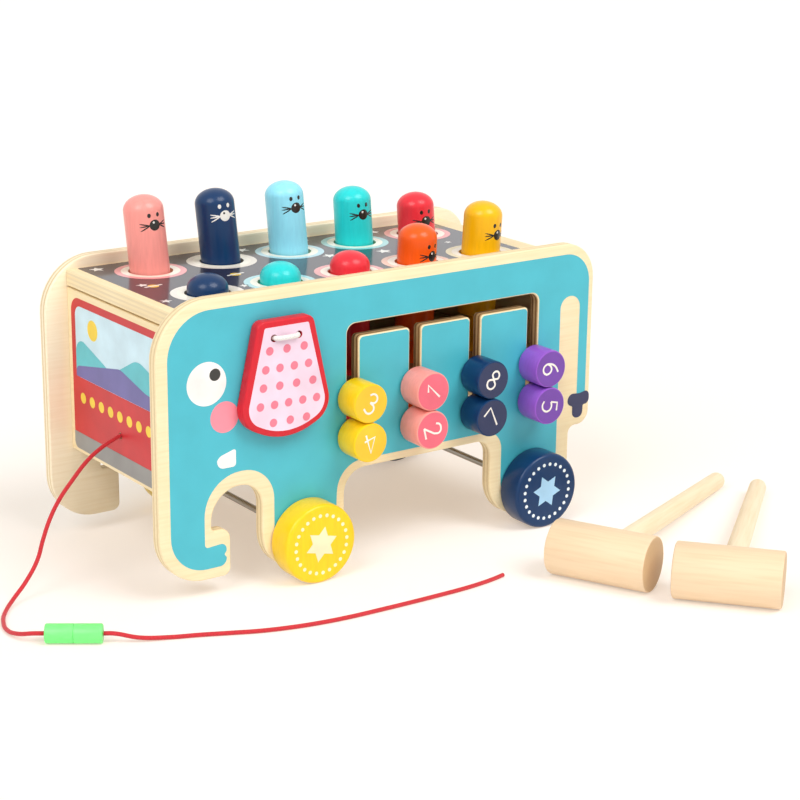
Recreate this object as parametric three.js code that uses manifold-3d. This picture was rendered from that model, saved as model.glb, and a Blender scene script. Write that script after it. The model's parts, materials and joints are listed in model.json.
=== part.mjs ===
// Elephant pull-along toy with pop-up mole pegs, number discs on a comb track and two loose mallets.
// Millimetres, +Z up. X runs from trunk (-) to tail (+) and the decorated near side faces -Y.

import * as THREE from 'three';
import { mergeVertices } from 'three/addons/utils/BufferGeometryUtils.js';
import Module from 'manifold-3d';

const wasm = await Module();
wasm.setup();

// Driving sizes

const seat = 0.3; // gap that resting or fitted pieces keep
const bodyLength = 300;
const bodyTop = 168.5;
const overPanels = 136; // outer face to outer face
const panelThick = 7.5;
const headRound = 32;
const rumpRound = 22;

const trunkFoot = 10.6;
const trunkRound = 28;
const trunkNeck = 32.4;
const tipReach = 11.8; // the trunk's curled tip, past its neck
const tipGap = 23; // curled tip to the arch above it
const tipRound = 6;
const tipEdgeRound = 2.5;
const bayTop = 61;
const bayWidth = 32.6;
const bayRound = 18;
const bayFlat = 0.6;
const bellyTop = 56.7;
const bellyFrontRound = 14;
const bellyBackRound = 10;
const legFoot = 6;
const legRound = 24;
const frontLegWidth = 54.5;
const rearLegWidth = 60.5;
const tailStep = 54.5;
const tailWidth = 15.5;
const tailRound = 8.5;
const tailInnerRound = 5;

const deckDrop = 7; // deck's top below the panels' top
const deckThick = 9;
const frontOverhang = 14.2; // panels past the deck
const backOverhang = 19.1;
const endThick = 8;
const endFoot = 54.8;

const molePitch = 47;
const moleRowGap = 63;
const moleColumns = 5;
const moleRadius = 11.5;
const moleDome = 8.5;
const moleBody = 68; // dome top to shoulder
const molePlay = 1.4;
const moleLow = 10.7; // dome top above the deck when knocked in
const moleHigh = 44.5; // dome top above the deck when pushed up
const moleLean = [-0.81, 0.59]; // heading of the pegs' lean in their loose holes
const leanRoom = 1.1; // extra play at both stops for a leaning peg
const backNudge = 0.5; // back row off the middle of its holes, towards the lean
const stemRadius = 4.6;
const stemPlay = 6.2;
const spigotRadius = 3;
const collarRadius = 13.2;
const collarThick = 4;
const guideThick = 6.5;
const gripThick = 2;
const gripPlay = 1.1;
const keeperChannel = 8.5; // free depth behind the near panel for the disc keepers

const discRadius = 11.25;
const discThick = 16.9;
const discEdge = 1;
const discCollarRadius = 6;
const discCollar = 0.8;
const discStemRadius = 3.25;
const discStemProud = 0.6; // stem past its keeper
const discLowZ = 77;
const combEarGap = 18.3; // ear's edge to the first slot's middle
const combEndGap = 19; // last slot's middle to the rear board
const combSlots = 4;
const combDrop = 26.7; // channel's top below the panels' top
const combPlay = 0.55;
const combRound = 6;
const tongueRound = 2.5;
const keeperRadius = 7;
const keeperThick = 3;

const wheelRadius = 23.1;
const wheelThick = 16;
const wheelGap = 0.7;
const wheelEdge = 2;
const wheelShift = 0.75; // axles past the middle of their legs
const axleRadius = 2;
const axlePlay = 0.35;
const axlePress = 0.2;
const axleInWheel = 11;

const earDrop = 15.5; // ear's top below the panels' top
const earX = -73.4;
const earTopWidth = 35;
const earWidth = 60;
const earSide = 56;
const earLength = 70.5;
const earTopRound = 5;
const earSideRound = 14;
const earFootRound = 38;
const earThick = 7;
const earEdge = 0.8;
const tieDrop = 9.7; // stitch below the ear's top
const tieSpan = 16;
const tieRadius = 1.4;
const tiePlay = 0.7;
const tieBend = 2.4;
const tieKnotRadius = 3;

const cordRadius = 1.2;
const cordPlay = 0.8;
const cordLie = cordRadius + 0.1; // cord's middle above the floor
const cordHoleZ = 78;
const knotRadius = 4;
const connectorRadius = 5.25;
const connectorLength = 30;
const connectorNose = 4.6;
const connectorTaper = 0.9;
const connectorEdge = 0.4;
const connectorSpigot = 3;
const connectorSocket = 6;
const connectorStraight = 5; // straight cord at each end

const malletRadius = 16;
const malletLength = 60;
const malletEdge = 1.2;
const handleRootRadius = 6.4;
const handleTipRadius = 5.4;
const handleReach = 188; // head axis to handle tip
const handleInHead = 9; // inner end of the handle, past the head's axis
const handleNose = 4;
const malletPlaces = [[75.4, -171], [112.6, -232.5]]; // middles of the heads
const malletHeadings = [26, 40]; // degrees from +X

// Facets

const cornerSteps = 3;
const pegSides = 16;
const ringSides = 12;
const wheelSides = 24;
const barrelSides = 28;
const handleSides = 16;
const cordSides = 8;
const cordSteps = 34;

// Values that follow from the driving sizes

const panelInner = overPanels / 2 - panelThick;
const panelOuter = overPanels / 2;
const bodyLeft = -bodyLength / 2;
const bodyRight = bodyLength / 2;
const bayLeft = bodyLeft + trunkNeck;
const frontLegLeft = bayLeft + bayWidth;
const frontLegRight = frontLegLeft + frontLegWidth;
const rearLegRight = bodyRight - tailWidth;
const rearLegLeft = rearLegRight - rearLegWidth;
const frontWheelX = (frontLegLeft + frontLegRight) / 2 + wheelShift;
const rearWheelX = (rearLegLeft + rearLegRight) / 2 + wheelShift;
const deckTop = bodyTop - deckDrop;
const deckUnder = deckTop - deckThick;
const deckFront = bodyLeft + frontOverhang;
const deckBack = bodyRight - backOverhang;
const guideTop = deckTop + moleLow - moleBody - seat - leanRoom;
const stemLength = guideThick + moleHigh - moleLow + 2 * (seat + leanRoom); // shoulder to collar
const discHighZ = discLowZ + 2 * discRadius + seat;
const combFirst = earX + earWidth / 2 + combEarGap;
const combLast = deckBack - endThick - combEndGap;
const combPitch = (combLast - combFirst) / (combSlots - 1);
const combX = Array.from({ length: combSlots }, (_, i) => combFirst + i * combPitch);
const earTop = bodyTop - earDrop;
const tieZ = earTop - tieDrop;
const tieX = [-1, 1].map((side) => (side * tieSpan) / 2);

// Finishes

function finish(color, roughness, metalness = 0) {
  return new THREE.MeshStandardMaterial({ color, roughness, metalness });
}

const pineWood = finish('#eed9ae', 0.6);
const plywood = finish('#ecd8ae', 0.6);
const teal = finish('#4fbfc9', 0.45);
const tealGloss = finish('#2fc4bd', 0.3);
const pink = finish('#f58d8b', 0.35);
const navy = finish('#24365f', 0.35);
const sky = finish('#7fd6f3', 0.35);
const red = finish('#d0263a', 0.35);
const orange = finish('#f0521c', 0.35);
const yellow = finish('#f9c920', 0.4);
const purple = finish('#7a4cae', 0.4);
const steel = finish('#8f959b', 0.35, 1);
const whiteCord = finish('#f4f2ee', 0.8);
const redCord = finish('#c8202c', 0.7);
const green = finish('#74dd86', 0.4);
const rubber = finish('#2b2b2d', 0.9);

// Each peg's paint, its dome top above the deck and its lean in degrees, from the trunk end

const backPegs = [
  [pink, 44.2, 4.8],
  [navy, 43.1, 5.4],
  [sky, 42.8, 4.7],
  [tealGloss, 34.7, 3.4],
  [red, 26.2, 3.9],
];
const frontPegs = [
  [navy, 11, 0],
  [tealGloss, 11.7, 0],
  [red, 12.3, 0],
  [orange, 22.8, -1.5],
  [yellow, 31.1, -3],
];

// Building helpers

const toy = new THREE.Group();

function add(name, geometry, material, parent = toy) {
  const mesh = new THREE.Mesh(geometry, material);
  mesh.name = name;
  parent.add(mesh);
  return mesh;
}

// Closed outline through corners [x, y, radius], each rounded by an arc.
function roundedOutline(corners, path = new THREE.Shape()) {
  corners.forEach(([x, y, radius], i) => {
    const corner = new THREE.Vector2(x, y);
    const [bx, by] = corners.at(i - 1);
    const [ax, ay] = corners[(i + 1) % corners.length];
    const before = new THREE.Vector2(bx, by).sub(corner).normalize();
    const after = new THREE.Vector2(ax, ay).sub(corner).normalize();
    const half = Math.acos(before.dot(after)) / 2;
    const middle = before.clone().add(after).normalize();
    const centre = middle.multiplyScalar(radius / Math.sin(half)).add(corner);
    const reach = radius / Math.tan(half);
    const start = before.clone().multiplyScalar(reach).add(corner).sub(centre);
    const end = after.clone().multiplyScalar(reach).add(corner).sub(centre);
    const clockwise = before.cross(after) > 0;
    path.absarc(centre.x, centre.y, radius, start.angle(), end.angle(), clockwise);
  });
  return path;
}

function circlePoints(x, y, radius, sides) {
  const points = [];
  for (let i = 0; i < sides; i += 1) {
    const turn = (2 * Math.PI * i) / sides;
    points.push(new THREE.Vector2(x + radius * Math.cos(turn), y + radius * Math.sin(turn)));
  }
  return points;
}

function roundHole(x, y, radius, sides = ringSides) {
  return new THREE.Path(circlePoints(x, y, radius, sides));
}

// A shape drawn in X and Z, given a thickness towards -Y.
function uprightSheet(shape, thickness, edge = 0) {
  const bevel = { bevelEnabled: edge > 0, bevelThickness: edge, bevelSize: edge, bevelOffset: -edge };
  const sizes = { depth: thickness - 2 * edge, curveSegments: cornerSteps, bevelSegments: 1, ...bevel };
  const geometry = new THREE.ExtrudeGeometry(shape, sizes);
  geometry.translate(0, 0, edge);
  return geometry.rotateX(Math.PI / 2);
}

// A board between two corners, with optional holes through its Z direction.
function flatBoard([x0, y0, z0], [x1, y1, z1], holes = []) {
  const shape = new THREE.Shape();
  shape.moveTo(x0, y0).lineTo(x1, y0).lineTo(x1, y1).lineTo(x0, y1);
  shape.holes.push(...holes);
  return new THREE.ExtrudeGeometry(shape, { depth: z1 - z0, bevelEnabled: false }).translate(0, 0, z0);
}

// A turned piece about the Y axis, from [radius, height] points that go up.
function turned(profile, sides) {
  return new THREE.LatheGeometry(profile.map(([r, h]) => new THREE.Vector2(r, h)), sides);
}

function ring(inner, outer, low, high) {
  return turned([[inner, low], [outer, low], [outer, high], [inner, high], [inner, low]], ringSides);
}

function solid(geometry) {
  const bare = new THREE.BufferGeometry();
  bare.setAttribute('position', geometry.getAttribute('position'));
  bare.setIndex(geometry.getIndex());
  const merged = mergeVertices(bare, 1e-4);
  const vertProperties = new Float32Array(merged.getAttribute('position').array);
  const triVerts = new Uint32Array(merged.getIndex().array);
  return new wasm.Manifold(new wasm.Mesh({ numProp: 3, vertProperties, triVerts }));
}

function geometryOf(manifold) {
  const { vertProperties, triVerts } = manifold.getMesh();
  const geometry = new THREE.BufferGeometry();
  geometry.setAttribute('position', new THREE.BufferAttribute(new Float32Array(vertProperties), 3));
  geometry.setIndex(new THREE.BufferAttribute(new Uint32Array(triVerts), 1));
  return geometry;
}

// A round cord along a smooth curve through points.
function cord(points, radius, steps, sides) {
  const curve = new THREE.CatmullRomCurve3(points.map(([x, y, z]) => new THREE.Vector3(x, y, z)));
  const section = new THREE.Shape(circlePoints(0, 0, radius, sides));
  return new THREE.ExtrudeGeometry(section, { extrudePath: curve, steps });
}

// Side panels: elephant outline with trunk hook, two legs and a tail step

function elephantOutline() {
  const tipRight = bayLeft + tipReach;
  const tipTop = bayTop - tipGap;
  return roundedOutline([
    [bodyLeft, bodyTop, headRound],
    [bodyLeft, trunkFoot, trunkRound],
    [tipRight, trunkFoot, tipEdgeRound],
    [tipRight, tipTop, tipRound],
    [bayLeft, tipTop, tipEdgeRound],
    [bayLeft, bayTop, bayRound],
    [frontLegLeft, bayTop, bayWidth - bayRound - bayFlat],
    [frontLegLeft, legFoot, legRound],
    [frontLegRight, legFoot, legRound],
    [frontLegRight, bellyTop, bellyFrontRound],
    [rearLegLeft, bellyTop, bellyBackRound],
    [rearLegLeft, legFoot, legRound],
    [rearLegRight, legFoot, legRound],
    [rearLegRight, tailStep, tailInnerRound],
    [bodyRight, tailStep, tailRound],
    [bodyRight, bodyTop, rumpRound],
  ]);
}

function axleHoles() {
  return [frontWheelX, rearWheelX].map((x) => roundHole(x, wheelRadius, axleRadius + axlePlay));
}

// One cut-out: a channel along the top with a blind slot down from it for each pair of discs.
function combTrack() {
  const half = discStemRadius + combPlay;
  const footRound = 0.98 * half;
  const foot = discLowZ - discStemRadius - seat;
  const channelTop = bodyTop - combDrop;
  const tongueTop = channelTop - 2 * half;
  const corners = [
    [combX.at(-1) + half, channelTop, combRound],
    [combX[0] - half, channelTop, combRound],
  ];
  combX.forEach((x, i) => {
    if (i > 0) corners.push([x - half, tongueTop, tongueRound]);
    corners.push([x - half, foot, footRound], [x + half, foot, footRound]);
    if (i < combX.length - 1) corners.push([x + half, tongueTop, tongueRound]);
  });
  return roundedOutline(corners, new THREE.Path());
}

function sidePanels() {
  const far = elephantOutline();
  far.holes.push(...axleHoles());
  add('far_side_panel', uprightSheet(far, panelThick), teal).position.y = panelOuter;

  const near = elephantOutline();
  const tieHoles = tieX.map((x) => roundHole(earX + x, tieZ, tieRadius + tiePlay));
  near.holes.push(...axleHoles(), ...tieHoles, combTrack());
  add('near_side_panel', uprightSheet(near, panelThick), teal).position.y = -panelInner;
}

// Deck with two rows of peg holes, end boards, the inner guide board and the grip sheet

function moleX(column) {
  return (deckFront + deckBack) / 2 + (column - (moleColumns - 1) / 2) * molePitch;
}

function moleHoles(radius, sides) {
  const holes = [];
  for (const side of [-1, 1]) {
    for (let column = 0; column < moleColumns; column += 1) {
      holes.push(roundHole(moleX(column), (side * moleRowGap) / 2, radius, sides));
    }
  }
  return holes;
}

function boards() {
  const half = panelInner - seat;
  const endTop = deckUnder - seat;
  const deckHoles = moleHoles(moleRadius + molePlay, pegSides);
  add('deck_board', flatBoard([deckFront, -half, deckUnder], [deckBack, half, deckTop], deckHoles), plywood);

  const insideFront = deckFront + endThick + seat;
  const insideBack = deckBack - endThick - seat;
  const guideLow = [insideFront, keeperChannel - panelInner, guideTop - guideThick];
  const guideHoles = moleHoles(stemRadius + stemPlay, ringSides);
  add('guide_board', flatBoard(guideLow, [insideBack, half, guideTop], guideHoles), plywood);

  const gripLow = [insideFront, -half, endTop - gripThick];
  const gripHoles = moleHoles(moleRadius + gripPlay, ringSides);
  add('grip_sheet', flatBoard(gripLow, [insideBack, half, endTop], gripHoles), rubber);

  const back = flatBoard([deckBack - endThick, -half, endFoot], [deckBack, half, endTop]);
  add('rear_board', back, plywood);

  const front = new THREE.Shape();
  front.moveTo(-half, endFoot).lineTo(half, endFoot).lineTo(half, endTop).lineTo(-half, endTop);
  front.holes.push(roundHole(0, cordHoleZ, cordRadius + cordPlay));
  const sheet = uprightSheet(front, endThick).rotateZ(Math.PI / 2);
  add('front_board', sheet, plywood).position.x = deckFront;
}

// Mole pegs: domed body, stem through the guide board and a glued collar under it

function moleProfile() {
  const collarFoot = -stemLength - collarThick;
  const profile = [
    [0, collarFoot],
    [spigotRadius, collarFoot],
    [spigotRadius, -stemLength],
    [stemRadius, -stemLength],
    [stemRadius, 0],
    [moleRadius, 0],
  ];
  const domeSteps = 4;
  for (let i = 0; i < domeSteps; i += 1) {
    const turn = (Math.PI / 2) * (i / domeSteps);
    profile.push([moleRadius * Math.cos(turn), moleBody - moleDome + moleDome * Math.sin(turn)]);
  }
  profile.push([0, moleBody]);
  return profile;
}

function moles(row, side, pegs, nudge = 0) {
  const [leanX, leanY] = moleLean;
  const leanAxis = new THREE.Vector3(-leanY, leanX, 0).normalize();
  pegs.forEach(([paint, height, lean], column) => {
    const peg = new THREE.Group();
    const x = moleX(column) + nudge * leanX;
    const y = (side * moleRowGap) / 2 + nudge * leanY;
    peg.position.set(x, y, deckTop - deckThick / 2);
    peg.quaternion.setFromAxisAngle(leanAxis, THREE.MathUtils.degToRad(lean));
    toy.add(peg);
    const name = `mole_${row}_${column + 1}`;
    const shoulder = height + deckThick / 2 - moleBody;
    const body = turned(moleProfile(), pegSides).rotateX(Math.PI / 2);
    add(name, body.translate(0, 0, shoulder), paint, peg);
    const collarTop = -stemLength - seat;
    const collar = ring(spigotRadius + seat, collarRadius, -stemLength - collarThick, collarTop);
    add(`${name}_collar`, collar.rotateX(Math.PI / 2).translate(0, 0, shoulder), pineWood, peg);
  });
}

// Number discs: disc, collar and stem in one turning, kept by a ring behind the panel

function discProfile() {
  const back = discCollar + seat;
  const face = back + discThick;
  const stemEnd = -panelThick - seat - keeperThick - discStemProud;
  return [
    [0, stemEnd],
    [discStemRadius, stemEnd],
    [discStemRadius, seat],
    [discCollarRadius, seat],
    [discCollarRadius, back],
    [discRadius - discEdge, back],
    [discRadius, back + discEdge],
    [discRadius, face - discEdge],
    [discRadius - discEdge, face],
    [0, face],
  ];
}

function numberDiscs() {
  const paints = [yellow, pink, navy, purple];
  combX.forEach((x, i) => {
    for (const [level, z] of [['upper', discHighZ], ['lower', discLowZ]]) {
      const disc = new THREE.Group();
      disc.position.set(x, -panelOuter, z);
      disc.rotation.x = Math.PI; // the profile's +Y then points out of the panel
      toy.add(disc);
      const name = `disc_${i + 1}_${level}`;
      add(name, turned(discProfile(), pegSides), paints[i], disc);
      const keeperTop = -panelThick - seat;
      const keeper = ring(discStemRadius + seat, keeperRadius, keeperTop - keeperThick, keeperTop);
      add(`${name}_keeper`, keeper, pineWood, disc);
    }
  });
}

// Wheels pressed on through axles

function wheelProfile() {
  const bore = axleRadius + axlePress;
  const bevel = 0.3 * wheelEdge;
  return [
    [0, axleInWheel + seat],
    [bore, axleInWheel + seat],
    [bore, 0],
    [wheelRadius - wheelEdge / 2, 0],
    [wheelRadius, wheelEdge / 2],
    [wheelRadius, wheelThick - wheelEdge],
    [wheelRadius - bevel, wheelThick - bevel],
    [wheelRadius - wheelEdge, wheelThick],
    [0, wheelThick],
  ];
}

function wheelset(place, x, paint) {
  const set = new THREE.Group();
  set.position.set(x, 0, wheelRadius);
  toy.add(set);
  const reach = panelOuter + wheelGap;
  const axleEnd = reach + axleInWheel;
  const axle = [[0, -axleEnd], [axleRadius, -axleEnd], [axleRadius, axleEnd], [0, axleEnd]];
  add(`${place}_axle`, turned(axle, ringSides), steel, set);
  add(`${place}_far_wheel`, turned(wheelProfile(), wheelSides), paint, set).position.y = reach;
  const near = add(`${place}_near_wheel`, turned(wheelProfile(), wheelSides), paint, set);
  near.position.y = -reach;
  near.rotation.x = Math.PI;
}

// Ear tied to the near panel by a loop of cord

function ear() {
  const shape = roundedOutline([
    [-earTopWidth / 2, 0, earTopRound],
    [-earWidth / 2, -earSide, earSideRound],
    [0, -earLength, earFootRound],
    [earWidth / 2, -earSide, earSideRound],
    [earTopWidth / 2, 0, earTopRound],
  ]);
  shape.holes.push(...tieX.map((x) => roundHole(x, -tieDrop, tieRadius + tiePlay)));
  const sheet = uprightSheet(shape, earThick, earEdge);
  add('ear', sheet, red).position.set(earX, -panelOuter - seat, earTop);
}

// The stitch: two legs through panel and ear, a straight run across the ear and a knot on each leg.
function earTie() {
  const front = -panelOuter - seat - earThick - tieRadius - seat;
  const inside = -panelInner + seat + tieKnotRadius;
  const leg = [
    [inside, 0],
    [-panelInner, 0],
    [-panelOuter, 0],
    [front + 0.6 * tieBend, 0],
    [front + 0.2 * tieBend, tieBend / 4],
    [front, tieBend],
  ];
  const left = leg.map(([y, inward]) => [earX + tieX[0] + inward, y, tieZ]);
  const right = leg.map(([y, inward]) => [earX + tieX[1] - inward, y, tieZ]);
  let tie = solid(cord([...left, ...right.reverse()], tieRadius, 24, 6));
  for (const x of tieX) {
    const knot = new THREE.IcosahedronGeometry(tieKnotRadius, 1);
    tie = tie.add(solid(knot.translate(earX + x, inside, tieZ)));
  }
  add('ear_tie', geometryOf(tie), whiteCord);
}

// Pull cord: knot behind the front board, lead to a pull-apart connector, tail along the floor

const connectorMiddle = [-209.3, -82.3];
const connectorHeading = Math.atan2(-16.8, 24.8);
const leadRoute = [
  [deckFront + endThick + seat, 0, cordHoleZ],
  [deckFront, 0, cordHoleZ],
  [-141, -0.6, 77.8],
  [-150, -2.4, 74.6],
  [-158.6, -4.4, 69.3],
  [-169.9, -7.1, 60.4],
  [-179.5, -9, 51],
  [-186.3, -10.5, 41.4],
  [-191.2, -11.5, 31],
  [-195.4, -12.4, 20.6],
  [-203.5, -14.2, 10.4],
  [-213.5, -18.5, 3.6],
  [-222.4, -27.5, cordLie + 0.2],
  [-229, -39, cordLie],
  [-232.3, -51, cordLie + 0.1],
  [-231.2, -61.5, 2.9],
];
const tailRoute = [
  [-181, -100.6, 2.6],
  [-167, -106.2, cordLie + 0.1],
  [-151.7, -112.4, cordLie],
  [-137, -119.2, cordLie],
  [-122.9, -125.5, cordLie],
  [-107, -130.6, cordLie],
  [-90.8, -134.1, cordLie],
  [-72, -136.4, cordLie],
  [-54, -137.3, cordLie],
  [-34, -138, cordLie],
  [-14.3, -138.3, cordLie],
  [2, -138.2, cordLie],
  [14, -137.4, cordLie],
  [24.5, -136, cordLie],
  [33.2, -134.1, cordLie],
];

// A point on the connector's axis, this far from its middle.
function alongConnector(reach) {
  const [x, y] = connectorMiddle;
  return [x + reach * Math.cos(connectorHeading), y + reach * Math.sin(connectorHeading), connectorRadius];
}

function pullCord() {
  const end = connectorLength / 2 + seat;
  const bendAt = end + connectorStraight;
  const lead = [...leadRoute, alongConnector(-bendAt), alongConnector(-end)];
  const tail = [alongConnector(end), alongConnector(bendAt), ...tailRoute];
  add('pull_cord_lead', cord(lead, cordRadius, cordSteps, cordSides), redCord);
  add('pull_cord_tail', cord(tail, cordRadius, cordSteps, cordSides), redCord);

  const knot = new THREE.IcosahedronGeometry(knotRadius, 1);
  const knotX = deckFront + endThick + 2 * seat + knotRadius;
  add('cord_knot', knot, redCord).position.set(knotX, 0, cordHoleZ);
}

// The connector's two halves meet at its middle, where a plug goes into a socket.
function connector() {
  const pair = new THREE.Group();
  pair.position.set(...connectorMiddle, connectorRadius);
  pair.rotation.z = connectorHeading;
  toy.add(pair);
  const half = connectorLength / 2;
  const joint = seat / 2;
  const shell = [
    [connectorRadius - connectorEdge, joint],
    [connectorRadius, joint + connectorEdge],
    [connectorRadius, half - connectorTaper],
    [connectorNose, half],
    [0, half],
  ];
  const socket = [
    [0, connectorSocket],
    [connectorSpigot + seat, connectorSocket],
    [connectorSpigot + seat, joint],
    ...shell,
  ];
  const plugEnd = joint + seat - connectorSocket;
  const plug = [[0, plugEnd], [connectorSpigot, plugEnd], [connectorSpigot, joint], ...shell];
  add('connector_plug', turned(plug, pegSides).rotateZ(-Math.PI / 2), green, pair);
  const socketHalf = add('connector_socket', turned(socket, pegSides).rotateZ(-Math.PI / 2), green, pair);
  socketHalf.rotation.z = Math.PI;
}

// Loose mallets lying on the floor, each rolled until its handle's tip touches down

function mallet(name, [x, y], headingDegrees) {
  const droop = Math.asin((malletRadius - handleTipRadius) / handleReach);
  const piece = new THREE.Group();
  piece.position.set(x, y, malletRadius);
  piece.rotation.set(0, droop, THREE.MathUtils.degToRad(headingDegrees), 'ZYX');
  toy.add(piece);

  const half = malletLength / 2;
  const barrel = turned([
    [0, -half],
    [malletRadius - malletEdge, -half],
    [malletRadius, malletEdge - half],
    [malletRadius, half - malletEdge],
    [malletRadius - malletEdge, half],
    [0, half],
  ], barrelSides);
  const socketRadius = handleRootRadius + seat;
  const socketLength = malletRadius + handleInHead + seat;
  const socket = new THREE.CylinderGeometry(socketRadius, socketRadius, 2 * socketLength, handleSides);
  socket.rotateZ(Math.PI / 2).translate(malletRadius, 0, 0);
  add(`${name}_head`, geometryOf(solid(barrel).subtract(solid(socket))), pineWood, piece);

  const handle = turned([
    [0, -handleInHead],
    [handleRootRadius, -handleInHead],
    [handleRootRadius, malletRadius],
    [handleTipRadius, handleReach - handleNose],
    [0.72 * handleTipRadius, handleReach - 0.3 * handleNose],
    [0, handleReach],
  ], handleSides);
  add(`${name}_handle`, handle.rotateZ(-Math.PI / 2), pineWood, piece);
}

sidePanels();
boards();
moles('back', 1, backPegs, backNudge);
moles('front', -1, frontPegs);
numberDiscs();
wheelset('front', frontWheelX, yellow);
wheelset('rear', rearWheelX, navy);
ear();
earTie();
pullCord();
connector();
malletPlaces.forEach((place, i) => mallet(`mallet_${i + 1}`, place, malletHeadings[i]));

// The origin is the middle of the set's floor area, measured without the free cord

const cordPieces = ['pull_cord_lead', 'pull_cord_tail', 'connector_plug', 'connector_socket', 'cord_knot'];
const extent = new THREE.Box3();
toy.updateMatrixWorld(true);
toy.traverse((node) => {
  if (node.isMesh && !cordPieces.includes(node.name)) extent.expandByObject(node, true);
});
const middle = extent.getCenter(new THREE.Vector3());
toy.position.set(-middle.x, -middle.y, -extent.min.z);

const set = new THREE.Group();
set.add(toy);

export default set;
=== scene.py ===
import json
import math
import bpy
from mathutils import Matrix, Vector


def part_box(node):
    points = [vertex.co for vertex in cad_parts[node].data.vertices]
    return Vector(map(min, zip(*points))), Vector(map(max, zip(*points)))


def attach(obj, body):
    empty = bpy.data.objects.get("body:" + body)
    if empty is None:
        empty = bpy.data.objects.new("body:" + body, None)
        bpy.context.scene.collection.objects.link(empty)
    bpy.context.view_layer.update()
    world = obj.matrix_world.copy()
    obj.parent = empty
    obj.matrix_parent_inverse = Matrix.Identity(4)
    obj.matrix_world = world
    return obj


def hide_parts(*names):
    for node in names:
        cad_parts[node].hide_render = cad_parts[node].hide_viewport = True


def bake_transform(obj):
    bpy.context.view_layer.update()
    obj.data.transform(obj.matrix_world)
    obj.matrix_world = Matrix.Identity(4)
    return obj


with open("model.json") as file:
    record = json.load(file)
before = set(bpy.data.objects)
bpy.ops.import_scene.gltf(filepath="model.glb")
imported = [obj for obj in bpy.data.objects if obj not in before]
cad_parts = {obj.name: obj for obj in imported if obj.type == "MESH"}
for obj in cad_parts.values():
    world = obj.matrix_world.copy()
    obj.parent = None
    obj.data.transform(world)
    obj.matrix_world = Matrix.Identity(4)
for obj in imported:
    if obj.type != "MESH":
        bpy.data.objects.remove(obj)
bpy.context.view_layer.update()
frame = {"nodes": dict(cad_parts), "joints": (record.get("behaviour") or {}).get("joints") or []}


# Camera
# The photograph looks down at the toy's near side and trunk end from a step away, through a long lens.
# Places are given in millimetres from the middle of the toy's body, at floor level.

near_low, near_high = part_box("near_side_panel")
far_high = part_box("far_side_panel")[1]
body_middle = Vector(((near_low.x + near_high.x) / 2, (near_low.y + far_high.y) / 2, 0))
MM = 0.001


def at(x, y, z):
    """A place in the frame, from millimetres about the body's middle."""
    return body_middle + Vector((x, y, z)) * MM


def in_mm(point):
    """The other way round: a place in the frame as millimetres about the body's middle."""
    return (point - body_middle) / MM


def turn_by(degrees, axis):
    """A turn about one of the three axes."""
    return Matrix.Rotation(math.radians(degrees), 4, axis)


def new_object(name, data):
    """Puts an object with that data into the scene."""
    made = bpy.data.objects.new(name, data)
    bpy.context.scene.collection.objects.link(made)
    return made


CAMERA_PLACE = (-651.5, -984.3, 429.9)
CAMERA_BEARING, CAMERA_DROP, CAMERA_ROLL = -35.728, 16.656, 0.638
camera_data = bpy.data.cameras.new("camera")
camera_data.lens = 92.87
camera_data.sensor_width = 36
camera = new_object("camera", camera_data)
camera_stand = Matrix.Translation(at(*CAMERA_PLACE)) @ turn_by(CAMERA_BEARING, "Z")
camera.matrix_world = camera_stand @ turn_by(90 - CAMERA_DROP, "X") @ turn_by(CAMERA_ROLL, "Z")
bpy.context.scene.camera = camera
bpy.context.scene.view_settings.view_transform = "Standard"


# Studio
# A white paper sweep under two broad soft boxes and an even, slightly warm surround, as for a catalogue.
# The floor that the camera sees also glows a little, so it is white and the toy's shadow on it stays warm.


def linear(code):
    """An sRGB hex colour as the linear values that a shader takes."""
    parts = [int(code[i:i + 2], 16) / 255 for i in (1, 3, 5)]
    return [c / 12.92 if c <= 0.04045 else ((c + 0.055) / 1.055) ** 2.4 for c in parts] + [1]


def feed(tree, node, inputs):
    """Gives a node's inputs their values, or links them to other nodes' output sockets."""
    for key, value in inputs.items():
        if isinstance(value, bpy.types.NodeSocket):
            tree.links.new(value, node.inputs[key])
        else:
            node.inputs[key].default_value = value


def add_node(tree, kind, inputs=None, **settings):
    """Adds a node: settings are its properties, inputs are as for feed."""
    made = tree.nodes.new("ShaderNode" + kind)
    for name, value in settings.items():
        setattr(made, name, value)
    feed(tree, made, inputs or {})
    return made


def new_material(name):
    """A new material, its node tree, its main shader and the object's own coordinates."""
    material = bpy.data.materials.new(name)
    material.use_nodes = True
    tree = material.node_tree
    return material, tree, tree.nodes["Principled BSDF"], add_node(tree, "TexCoord").outputs["Object"]


def seen_directly(tree):
    """One for rays from the camera and for those that a mirror or clear surface sends on, else nought."""
    rays = add_node(tree, "LightPath").outputs
    shiny = add_node(tree, "Math", {0: rays["Is Camera Ray"], 1: rays["Is Glossy Ray"]}, operation="MAXIMUM")
    clear = {0: shiny.outputs[0], 1: rays["Is Transmission Ray"]}
    return add_node(tree, "Math", clear, operation="MAXIMUM").outputs[0]


world = bpy.data.worlds.new("white_surround")
world.use_nodes = True
sky = world.node_tree
seen = seen_directly(sky)
warm = add_node(sky, "Background", {"Color": linear("#fffaf3"), "Strength": 0.42})
plain = add_node(sky, "Background", {"Color": linear("#ffffff"), "Strength": 1.0})
both = add_node(sky, "MixShader", {0: seen, 1: warm.outputs[0], 2: plain.outputs[0]})
sky.links.new(both.outputs[0], sky.nodes["World Output"].inputs["Surface"])
bpy.context.scene.world = world

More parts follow.
